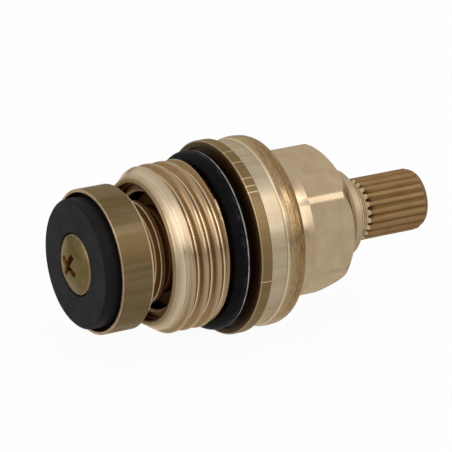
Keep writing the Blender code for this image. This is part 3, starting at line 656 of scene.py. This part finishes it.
def cut(geometry, chosen, spot, in_repeat, tip_share, root_share, outside, depth):
    """Bring chosen points in to what a cutter leaves: its depth at a root, nothing at a tip.

    A tip is in the middle of its repeat, and no point is moved outwards.
    """
    group = geometry.id_data
    from_tip = times(sum_of("ABSOLUTE", sum_of("SUBTRACT", in_repeat, 0.5)), 2.0)
    feeds = {"Value": from_tip, "From Min": tip_share, "From Max": root_share}
    share = new_node(group, "ShaderNodeMapRange", feeds, interpolation_type="SMOOTHSTEP").outputs["Result"]
    radius = sum_of("MINIMUM", spot.radius, sum_of("SUBTRACT", outside, times(share, depth)))
    scale = sum_of("DIVIDE", radius, sum_of("MAXIMUM", spot.radius, 1e-6))
    feeds = {"X": spot.x, "Y": times(spot.y, scale), "Z": times(spot.z, scale)}
    target = new_node(group, "ShaderNodeCombineXYZ", feeds).outputs[0]
    feeds = {"Geometry": geometry, "Selection": chosen, "Position": target}
    return new_node(group, "GeometryNodeSetPosition", feeds).outputs["Geometry"]


def skinned(geometry, finish, chosen=True):
    """The geometry with a finish on all its faces, or on the chosen ones."""
    feeds = {"Geometry": geometry, "Selection": chosen, "Material": finish}
    return new_node(geometry.id_data, "GeometryNodeSetMaterial", feeds).outputs["Geometry"]


def as_made(piece, keep_marks=False):
    """The mesh that a piece's modifiers or its bevel give."""
    bpy.context.view_layer.update()
    graph = bpy.context.evaluated_depsgraph_get()
    shown = piece.evaluated_get(graph)
    return bpy.data.meshes.new_from_object(shown, preserve_all_data_layers=keep_marks, depsgraph=graph)


def run_rule(piece, last, settings):
    """End a rule with its last step, run it on a piece and keep the result as its plain mesh."""
    group = last.id_data
    new_node(group, "NodeGroupOutput", {"Geometry": last})
    rule = piece.modifiers.new(group.name, "NODES")
    rule.node_group = group
    for identifier, value in settings.items():
        rule[identifier] = value
    result = as_made(piece, keep_marks=True)
    piece.modifiers.clear()
    result.name = piece.name
    piece.data = result


die_sizes = {
    "Major Radius": THREAD_RADIUS,
    "Pitch": THREAD_PITCH,
    "Depth": THREAD_DEPTH,
    "Crest": THREAD_CREST_SHARE,
    "Root": THREAD_ROOT_SHARE,
}
die_finishes = {"Turned Finish": turned_brass.material, "Milled Finish": milled_brass.material}
die, die_settings = new_rule("pipe_thread_die", die_sizes, die_finishes)
group = die["Pitch"].id_data
spot = spot_of(group)
phase = sum_of("SUBTRACT", sum_of("DIVIDE", spot.x, die["Pitch"]), spot.turns)
in_pitch = sum_of("FRACT", sum_of("ADD", phase, WHOLE_TURNS + THREAD_START))
phase_turn = times(in_pitch, math.tau)
shape = keep_value(die["Geometry"], "root_cos", sum_of("COSINE", phase_turn))
shape = keep_value(shape, "flank_sin", sum_of("SINE", phase_turn))
to_cut = marked(group, "die_cut")
shape = cut(shape, to_cut, spot, in_pitch, die["Crest"], die["Root"], die["Major Radius"], die["Depth"])
shape = new_node(group, "GeometryNodeRealizeInstances", {0: shape}).outputs[0]
shape = skinned(shape, die["Turned Finish"])
shape = skinned(shape, die["Milled Finish"], marked(group, "on_flats"))
run_rule(body_piece, shape, die_settings)
body_piece.data.set_sharp_from_angle(angle=math.radians(38))
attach(body_piece, "head")
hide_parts("body")

# Seal ring behind the flange: a moulded black rubber ring, stretched over the thread into its
# groove, dusty, with scuffs from handling on its crown and a thin painted highlight line beside it.
SEAL_WIDTH = 2.34 * MM
SEAL_HEIGHT = 2.3 * MM
SEAL_STATION = -1.675 * MM
SEAL_OUTSIDE = 11.24 * MM
SEAL_POINTS = 40


def turned_piece(name, path, columns, finish):
    """A piece from one outline, the same all round the axis."""
    turns = even_columns(math.tau / columns)
    mesh = skin(name, [all_round(path, turns)], turns)[0]
    mesh.materials.append(finish.material)
    return placed(name, mesh)


ring_rubber = finish_nodes("ring_rubber", False)
along = ring_rubber.along
from_axis = ring_rubber.from_axis
dust = pattern(ring_rubber.place, (900.0, 900.0, 900.0), 6.0, 0.7)
scuff = pattern(ring_rubber.place, (2600.0, 900.0, 900.0), 5.0, 0.7)
base = tint(between(dust, 0.35, 0.75), (0.0030, 0.0026, 0.0028), (0.0065, 0.0058, 0.0060))
scuff_zone = zone(along, -2.0, -1.2, 0.2)
scuffed = times(between(scuff, 0.52, 0.66, 0.0, 0.7), scuff_zone)
base = tint(scuffed, base, (0.040, 0.040, 0.043))
# Painted highlight: a thin pale grey line just behind the ring's crown, broken by the scuff pattern.
ring_highlight_line = zone(along, -1.38, -1.22, 0.05)
outside_only = between(from_axis, SEAL_OUTSIDE - 1.0 * MM, SEAL_OUTSIDE - 0.9 * MM)
ring_highlight_line = times(ring_highlight_line, outside_only)
ring_highlight_line = times(ring_highlight_line, between(scuff, 0.36, 0.56, 0.35, 1.0))
base = tint(ring_highlight_line, base, (0.50, 0.47, 0.47))
ring_rubber.shader.inputs["Specular IOR Level"].default_value = 0.04
lay_on(ring_rubber, base, between(dust, 0.3, 0.7, 0.44, 0.64), dust, 0.3, 0.02)

seal_middle = SEAL_OUTSIDE - SEAL_HEIGHT / 2
seal_path = []
for i in range(SEAL_POINTS):
    turn = math.pi - i * math.tau / SEAL_POINTS
    station = SEAL_STATION + SEAL_WIDTH / 2 * math.cos(turn)
    seal_path.append((station, seal_middle + SEAL_HEIGHT / 2 * math.sin(turn)))
body_seal = turned_piece("body_seal", np.array(seal_path), 240, ring_rubber)
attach(body_seal, "head")
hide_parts("body_seal_ring")

# Spindle: a brass bar with 22 teeth broached on its handle end, a neck for the clip, a sealed stem,
# a collar and a drive screw inside the plunger. Its teeth keep a browner, duller skin.
SPLINE_TEETH = 22
SPLINE_FIRST_TIP = math.radians(11.0)
SPLINE_TIP = 3.95 * MM
SPLINE_DEPTH = 0.25 * MM
SPLINE_START_DEPTH = 0.62 * MM
SPLINE_FRONT = 20.5 * MM
SPLINE_RUN_IN = 1.1 * MM
SPLINE_TIP_SHARE = 0.22
SPLINE_START = 0.1722
COLUMNS_PER_TOOTH = 16

spindle_path = rounded([
    (20.4, 0.0, 0), (21.6, 1.65, 0.0), (29.2, 1.65, 0.08), (29.6, 2.05, 0.06), (29.6, 3.6, 0.12),
    (28.95, 3.95, 0.15), (21.9, 3.95, 0.1), (21.4, 3.95, 0.1), (20.85, 3.95, 0.06), (20.4, 3.6, 0.04),
    (20.4, 3.45, 0.04), (18.95, 3.45, 0.0),
    (18.95, 4.0, 0.0), (17.67, 4.0, 0.0), (17.67, 2.66, 0.0), (16.23, 2.66, 0.0), (16.23, 4.0, 0.0),
    (15.27, 4.0, 0.0), (15.27, 2.66, 0.0), (13.83, 2.66, 0.0), (13.83, 4.0, 0.0), (11.3, 4.0, 0.0),
    (11.3, 5.6, 0.1), (9.8, 5.6, 0.1), (9.8, 3.3, 0.1), (8.6, 3.3, 0.1), (7.9, 4.0, 0.05),
    (-4.3, 4.0, 0.05), (-4.7, 3.6, 0.05), (-4.7, 0.0, 0),
])[::-1]
spindle_columns = SPLINE_TEETH * COLUMNS_PER_TOOTH
spindle_turns = SPLINE_FIRST_TIP + np.arange(spindle_columns) * math.tau / spindle_columns
spindle_grids = [all_round(spindle_path, spindle_turns)]
spindle_mesh, _, spindle_index = skin("spindle_splined", spindle_grids, spindle_turns)
in_spline = (spindle_path[:, 0] >= SPLINE_FRONT - 0.01 * MM) & (spindle_path[:, 1] > 3.3 * MM)
broached = np.zeros(len(spindle_mesh.vertices), np.float32)
broached[spindle_index[in_spline]] = 1.0
keep_on_mesh(spindle_mesh, "broached", "POINT", broached)
spindle_piece = placed("spindle_splined", spindle_mesh)

spindle_brass = finish_nodes("spindle_brass", True)
along = spindle_brass.along
from_axis = spindle_brass.from_axis
drawn = pattern(spindle_brass.place, (240.0, 5200.0, 5200.0), 3.0)
stain = pattern(spindle_brass.place, (520.0, 520.0, 520.0), 4.0)
base = tint(drawn, (0.220, 0.128, 0.051), (0.318, 0.203, 0.096))
base = tint(between(stain, 0.35, 0.7, 0.0, 0.6), base, (0.185, 0.105, 0.042))
in_teeth = zone(along, 20.5, 29.3, 0.1)
# Painted shade: darker in the gaps between the teeth.
gap_shade = times(ramp(from_axis, 3.68, 3.88, 0.62, 0.0), in_teeth)
base = tint(gap_shade, base, (0.115, 0.060, 0.018))
# Lighter on the tooth tips.
lighter_tips = times(ramp(from_axis, 3.90, 3.95), in_teeth)
base = tint(times(lighter_tips, 0.18), base, (0.36, 0.235, 0.115))
# Painted highlight: the teeth's run-out ends are pale cream and less metallic.
tooth_start = zone(along, 20.28, 20.84, 0.03)
tooth_face_highlight = times(tooth_start, ramp(from_axis, 3.38, 3.43))
base = tint(tooth_face_highlight, base, tint(between(stain, 0.35, 0.65), (0.50, 0.38, 0.21), (0.82, 0.67, 0.44)))
# Painted shade: dark notches where the tooth gaps start.
gap_start_shade = times(zone(along, 20.6, 21.3, 0.15), ramp(from_axis, 3.60, 3.74, 1.0, 0.0))
base = tint(gap_start_shade, base, (0.075, 0.034, 0.009))
join(between(tooth_face_highlight, 0.0, 1.0, 1.0, 0.25), spindle_brass.shader.inputs["Metallic"])
lay_on(spindle_brass, base, between(drawn, 0.3, 0.7, 0.54, 0.70), drawn, 0.25, 0.02)

broach_sizes = {
    "Tip Radius": SPLINE_TIP,
    "Tooth Depth": SPLINE_DEPTH,
    "Start Depth": SPLINE_START_DEPTH,
    "Teeth": float(SPLINE_TEETH),
    "Tip Share": SPLINE_TIP_SHARE,
    "Root Share": 1.0,
}
broach, broach_settings = new_rule("spline_broach", broach_sizes, {"Finish": spindle_brass.material})
group = broach["Teeth"].id_data
spot = spot_of(group)
teeth_passed = sum_of("ADD", times(spot.turns, broach["Teeth"]), WHOLE_TURNS + SPLINE_START)
in_tooth = sum_of("FRACT", teeth_passed)
run_in = sum_of("DIVIDE", sum_of("SUBTRACT", spot.x, SPLINE_FRONT), SPLINE_RUN_IN)
run_in = sum_of("MINIMUM", sum_of("MAXIMUM", run_in, 0.0), 1.0)
depth_change = sum_of("SUBTRACT", broach["Tooth Depth"], broach["Start Depth"])
depth_here = sum_of("ADD", broach["Start Depth"], times(run_in, depth_change))
to_cut = marked(group, "broached")
tip_share, root_share = broach["Tip Share"], broach["Root Share"]
shape = cut(
    broach["Geometry"], to_cut, spot, in_tooth, tip_share, root_share, broach["Tip Radius"], depth_here
)
shape = new_node(group, "GeometryNodeRealizeInstances", {0: shape}).outputs[0]
run_rule(spindle_piece, skinned(shape, broach["Finish"]), broach_settings)
spindle_piece.data.set_sharp_from_angle(angle=math.radians(40))
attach(spindle_piece, "spindle")
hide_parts("spindle")

# Retaining clip: an open ring of light bronze wire sprung into the neck beside the boss, with its
# mouth underneath; it stops the spindle from being pushed into the body.
CLIP_WIRE = 0.72 * MM
CLIP_STATION = 19.5 * MM
CLIP_MIDDLE = 3.85 * MM
CLIP_MOUTH = math.radians(70)
CLIP_STEPS = 120

clip_bronze = finish_nodes("clip_bronze", True)
drawn = pattern(clip_bronze.lathe, (4200.0, 4200.0, 1.0), 3.0)
spots = pattern(clip_bronze.place, (1500.0, 1500.0, 1500.0), 4.0)
base = tint(drawn, (0.44, 0.34, 0.20), (0.58, 0.46, 0.29))
base = tint(between(spots, 0.5, 0.75, 0.0, 0.6), base, (0.26, 0.17, 0.08))
lay_on(clip_bronze, base, between(spots, 0.3, 0.7, 0.30, 0.46), drawn, 0.2, 0.01)

clip_curve = bpy.data.curves.new("retaining_wire", "CURVE")
clip_curve.dimensions = "3D"
clip_curve.bevel_depth = CLIP_WIRE / 2
clip_curve.bevel_resolution = 6
clip_curve.use_fill_caps = True
wire = clip_curve.splines.new("POLY")
wire.points.add(CLIP_STEPS)
for i, point in enumerate(wire.points):
    turn = -math.pi / 2 + CLIP_MOUTH / 2 + (math.tau - CLIP_MOUTH) * i / CLIP_STEPS
    point.co = (CLIP_STATION, -CLIP_MIDDLE * math.cos(turn), CLIP_MIDDLE * math.sin(turn), 1.0)
wire_maker = placed("retaining_wire_maker", clip_curve)
clip_mesh = as_made(wire_maker)
bpy.data.objects.remove(wire_maker)
clip_mesh.name = "retaining_wire"
clip_mesh.shade_smooth()
clip_mesh.set_sharp_from_angle(angle=math.radians(50))
clip_mesh.materials.clear()
clip_mesh.materials.append(clip_bronze.material)
clip_piece = placed("retaining_wire", clip_mesh)
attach(clip_piece, "spindle")
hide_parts("retaining_clip")

# Plunger: one turned brass piece with the washer cup, a short neck and collar, the seal land and a
# six-sided tail; it slides without turning. Its cup is brushed along the axis and dark with oil.
TAIL_ACROSS_FLATS = 11.4 * MM
TAIL_FRONT = -1.4 * MM
TAIL_BACK = 7.5 * MM
TAIL_CORNER_RADIUS = 6.46 * MM
TAIL_CHAMFER = 0.4 * MM
PLUNGER_COLUMNS = 240

cup_front = rounded([
    (-6.9, 0.0, 0), (-8.9, 2.1, 0), (-15.0, 2.1, 0.1), (-15.0, 8.6, 0.1), (-17.4, 8.6, 0.05),
    (-17.4, 8.88, 0.04),
    (-17.28, 9.0, 0.05), (-13.4, 9.0, 0.1), (-12.9, 8.5, 0.1), (-12.9, 5.9, 0.15), (-10.8, 5.9, 0.1),
    (-10.8, 6.5, 0.08), (-10.3, 6.5, 0.08), (-10.3, 5.4, 0.1), (-7.7, 5.4, 0.1), (-7.7, 6.95, 0.06),
    (-7.4, 7.25, 0.06), (-6.1, 7.25, 0.05), (-6.1, 5.31, 0.05), (-3.8, 5.31, 0.05), (-3.8, 7.25, 0.05),
    (-2.2, 7.25, 0.05), (-2.2, 6.46, 0.0),
])
tail_bore = rounded([
    (7.5, 4.6, 0), (7.1, 4.2, 0.05), (-7.0, 4.2, 0.1), (-7.0, 0.0, 0),
])
plunger_turns = even_columns(math.tau / PLUNGER_COLUMNS)
ones = np.ones(PLUNGER_COLUMNS)
tail_flats = np.minimum(flat_radius(TAIL_ACROSS_FLATS, plunger_turns), TAIL_CORNER_RADIUS)
tail_end = np.minimum(tail_flats, TAIL_CORNER_RADIUS - TAIL_CHAMFER)
tail_station = [station * ones for station in (TAIL_FRONT, TAIL_FRONT, TAIL_BACK - TAIL_CHAMFER, TAIL_BACK)]
tail_radius = [TAIL_CORNER_RADIUS * ones, tail_flats, tail_flats, tail_end]
plunger_grids = [
    all_round(cup_front, plunger_turns),
    (tail_station, tail_radius),
    all_round(tail_bore, plunger_turns),
]
plunger_mesh = skin("plunger_cup", plunger_grids, plunger_turns)[0]
plunger_mesh.set_sharp_from_angle(angle=math.radians(38))

cup_brass = finish_nodes("cup_brass", True)
along = cup_brass.along
from_axis = cup_brass.from_axis
brushed = pattern(cup_brass.place, (70.0, 3400.0, 3400.0), 4.0, 0.6)
broad = pattern(cup_brass.place, (40.0, 620.0, 620.0), 4.0)
rings = pattern(cup_brass.lathe, (5200.0, 5200.0, 1.0))
base = tint(brushed, (0.088, 0.056, 0.021), (0.165, 0.112, 0.052))
base = tint(between(broad, 0.42, 0.66, 0.0, 0.75), base, (0.185, 0.135, 0.075))
inner = tint(rings, (0.20, 0.115, 0.042), (0.33, 0.21, 0.095))
base = tint(ramp(from_axis, 8.3, 8.6), inner, base)
# Painted shade: the neck, collar and waist, which sit in the mouth's shade, are a dark reddish brown and
# less metallic.
neck_shade_zone = times(zone(along, -13.2, -8.5), ramp(from_axis, 8.2, 8.0))
base = tint(neck_shade_zone, base, tint(rings, (0.20, 0.088, 0.016), (0.31, 0.165, 0.045)))
# Painted highlight: the cup's front rim is lighter.
front_rim_highlight = times(ramp(along, -17.27, -17.34), ramp(from_axis, 8.5, 8.6))
base = tint(front_rim_highlight, base, tint(broad, (0.26, 0.165, 0.092), (0.52, 0.40, 0.26)))
# Painted highlight: a bright cream band on the cup's rear chamfer, less metallic.
back_band_highlight = times(zone(along, -13.36, -12.86, 0.03), ramp(from_axis, 8.4, 8.5))
base = tint(back_band_highlight, base, (0.80, 0.64, 0.44))
# Painted highlight: bright cream lines on both edges of the collar.
collar_edge_highlight = zone(along, -10.90, -10.72, 0.02)
collar_edge_highlight = sum_of("MAXIMUM", collar_edge_highlight, zone(along, -10.38, -10.24, 0.02))
collar_edge_highlight = times(collar_edge_highlight, zone(from_axis, 6.3, 6.7, 0.03))
# Painted highlight: a pale line across the neck.
neck_highlight_line = times(zone(along, -11.34, -11.18, 0.03), ramp(from_axis, 6.2, 6.1))
base = tint(neck_highlight_line, base, (0.95, 0.76, 0.48))
# Painted shade and a painted highlight: the waist is dark red-brown, with a paler line across it.
waist = times(zone(along, -10.2, -8.45), ramp(from_axis, 7.0, 6.8))
base = tint(waist, base, (0.200, 0.062, 0.009))
waist_highlight_line = times(zone(along, -9.12, -8.86, 0.06), waist)
base = tint(waist_highlight_line, base, (0.45, 0.23, 0.11))
# Painted shade: dark in the corner at the neck's root.
neck_root_shade = times(zone(along, -11.05, -10.86, 0.04), ramp(from_axis, 6.1, 6.0))
base = tint(neck_root_shade, base, (0.14, 0.050, 0.008))
base = tint(collar_edge_highlight, base, (0.92, 0.76, 0.56))
# Painted shade: the collar's rim is dark golden brown.
collar_rim_shade = times(zone(along, -10.72, -10.38, 0.02), zone(from_axis, 6.4, 6.7, 0.03))
base = tint(collar_rim_shade, base, (0.22, 0.095, 0.018))
# Painted shade: the seal land inside the bore is near black.
land_shade = zone(along, -8.40, -7.0)
base = tint(land_shade, base, (0.046, 0.013, 0.002))
soft_metal = sum_of("MAXIMUM", neck_shade_zone, back_band_highlight)
join(between(soft_metal, 0.0, 1.0, 1.0, 0.35), cup_brass.shader.inputs["Metallic"])
lay_on(cup_brass, base, between(brushed, 0.3, 0.7, 0.40, 0.56), brushed, 0.35, 0.02)
plunger_mesh.materials.append(cup_brass.material)
plunger_piece = placed("plunger_cup", plunger_mesh)
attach(plunger_piece, "plunger")
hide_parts("plunger")

# Seat washer: a flat black rubber disc held in the cup by its screw, matt, with a slightly rounded
# front edge and the fine speckle of cut rubber.
seat_rubber = finish_nodes("seat_rubber", False)
from_axis = seat_rubber.from_axis
speckle = pattern(seat_rubber.place, (3000.0, 3000.0, 3000.0), 4.0, 0.6)
rubbed = pattern(seat_rubber.place, (300.0, 300.0, 300.0), 4.0, 0.6)
base = tint(speckle, (0.0042, 0.0039, 0.0040), (0.0072, 0.0066, 0.0067))
base = tint(between(rubbed, 0.45, 0.75, 0.0, 0.5), base, (0.0105, 0.0092, 0.0092))
# Painted shade: darker on the rounded outer edge.
bevel = times(ramp(from_axis, 7.55, 7.75), 0.8)
base = tint(bevel, base, (0.0034, 0.0022, 0.0020))
seat_rubber.shader.inputs["Specular IOR Level"].default_value = 0.16
lay_on(seat_rubber, base, between(rubbed, 0.3, 0.7, 0.60, 0.78), speckle, 0.35, 0.03)

washer_path = rounded([
    (-15.27, 2.25, 0.1), (-17.2, 2.25, 0.1), (-18.8, 3.95, 0.05), (-19.15, 3.95, 0.1), (-19.15, 7.72, 0.2),
    (-18.83, 8.04, 0.2), (-15.27, 8.04, 0.15), (-15.27, 2.25, 0.1),
])[:-1]
washer_piece = turned_piece("seat_disc", washer_path, 200, seat_rubber)
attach(washer_piece, "plunger")
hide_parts("seat_washer")

# Washer screw: a raised countersunk brass screw with a punched cross recess, which holds the washer
# in the cup; its head is dull olive and the walls of the recess are bright copper brown near the face,
# painted darker deeper down as painted shade.
SCREW_HEAD_RADIUS = 3.85 * MM
DOME_TOP = -20.2 * MM
DOME_HEIGHT = 1.15 * MM
DOME_CURVE = 72.0
DOME_STEPS = 24
RIM_ROLL = 0.18 * MM
ROLL_STEPS = 6
RECESS_TURN = math.radians(29)
RECESS_FACE = (-20.9, 4.3, 0.98)
RECESS_BOTTOM = (-18.3, 1.9, 0.55)
WORN_EDGE = 0.05 * MM

screw_brass = finish_nodes("screw_brass", True)
along = screw_brass.along
from_axis = screw_brass.from_axis
haze = pattern(screw_brass.place, (900.0, 900.0, 900.0), 4.0)
rings = pattern(screw_brass.lathe, (4200.0, 4200.0, 1.0), 2.0)
rim_gleam = times(ramp(from_axis, 3.55, 3.7), 0.8)
base = tint(rings, (0.125, 0.092, 0.035), (0.155, 0.115, 0.048))
base = tint(rim_gleam, base, (0.23, 0.175, 0.085))
base = tint(between(haze, 0.4, 0.7, 0.0, 0.4), base, (0.095, 0.068, 0.026))
dome_height = sum_of("SUBTRACT", along, DOME_TOP)
sphere_drop = times(times(from_axis, from_axis), DOME_CURVE)
below_dome = sum_of("SUBTRACT", dome_height, sphere_drop)
sunk = ramp(below_dome, 0.08, 0.22)
# Painted shade: the recess is copper brown at the face and darker deeper down.
recess_shade_colour = tint(ramp(below_dome, 0.5, 1.1), (0.22, 0.09, 0.02), (0.070, 0.026, 0.006))
head_only = ramp(along, -18.2, -18.3)
base = tint(times(sunk, head_only), base, recess_shade_colour)
lay_on(screw_brass, base, between(haze, 0.3, 0.7, 0.27, 0.40), haze, 0.15, 0.02)

sphere = (SCREW_HEAD_RADIUS**2 + DOME_HEIGHT**2) / (2 * DOME_HEIGHT)
head_radii = [(SCREW_HEAD_RADIUS - RIM_ROLL) * i / DOME_STEPS for i in range(DOME_STEPS + 1)]
for i in range(1, ROLL_STEPS + 1):
    head_radii.append(SCREW_HEAD_RADIUS - RIM_ROLL * (1 - math.sin(math.pi / 2 * i / ROLL_STEPS)))
head_path = []
for radius in head_radii:
    rolled = max(0.0, radius - SCREW_HEAD_RADIUS + RIM_ROLL) / RIM_ROLL
    roll_drop = RIM_ROLL * (1 - math.sqrt(max(0.0, 1 - rolled * rolled)))
    head_path.append((DOME_TOP + sphere - math.sqrt(sphere * sphere - radius * radius) + roll_drop, radius))
shank = rounded([
    (-18.87, 3.85, 0), (-18.8, 3.85, 0.05), (-17.2, 2.0, 0.1), (-9.65, 2.0, 0.05), (-9.15, 1.5, 0.05),
    (-9.15, 0.0, 0),
])[1:]
screw_piece = turned_piece("washer_screw_head", np.vstack([head_path, shank]), 96, screw_brass)


def recess_bit(turn):
    """One blade of the punch for the cross recess: wide at the face, narrow at its bottom."""
    bm = bmesh.new()
    bmesh.ops.create_cube(bm, size=1.0)
    for vert in bm.verts:
        station, length, width = RECESS_BOTTOM if vert.co.x > 0 else RECESS_FACE
        vert.co = (station * MM, vert.co.y * length * MM, vert.co.z * width * MM)
    bmesh.ops.rotate(bm, verts=bm.verts, cent=(0, 0, 0), matrix=Matrix.Rotation(turn, 3, "X"))
    bmesh.ops.recalc_face_normals(bm, faces=bm.faces)
    mesh = bpy.data.meshes.new("recess_bit")
    bm.to_mesh(mesh)
    bm.free()
    return placed("recess_bit", mesh)


bits = [recess_bit(RECESS_TURN), recess_bit(RECESS_TURN + math.pi / 2)]
for bit in bits:
    punch = screw_piece.modifiers.new("punch", "BOOLEAN")
    punch.operation = "DIFFERENCE"
    punch.solver = "EXACT"
    punch.object = bit
worn = screw_piece.modifiers.new("worn_edges", "BEVEL")
worn.limit_method = "ANGLE"
worn.angle_limit = math.radians(40)
worn.width = WORN_EDGE
worn.segments = 2
punched = as_made(screw_piece)
screw_piece.modifiers.clear()
screw_piece.data = punched
punched.shade_smooth()
punched.set_sharp_from_angle(angle=math.radians(35))
punched.materials.clear()
punched.materials.append(screw_brass.material)
for bit in bits:
    bpy.data.objects.remove(bit)
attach(screw_piece, "plunger")
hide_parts("washer_screw")

# Inner pieces, seen only when the headwork is cut open or driven out: the two spindle rings, the
# plunger ring and the slide washer keep their own solids and take rubber and plastic finishes.
slide_plastic = finish_nodes("slide_plastic", False)
grain = pattern(slide_plastic.place, (1800.0, 1800.0, 1800.0), 4.0)
base = tint(grain, (0.72, 0.71, 0.66), (0.82, 0.81, 0.76))
lay_on(slide_plastic, base, 0.45, grain, 0.2, 0.01)
for node in ("spindle_ring_outer", "spindle_ring_inner", "plunger_ring", "thrust_washer"):
    finish = slide_plastic if node == "thrust_washer" else ring_rubber
    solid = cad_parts[node]
    solid.data.materials.clear()
    solid.data.materials.append(finish.material)
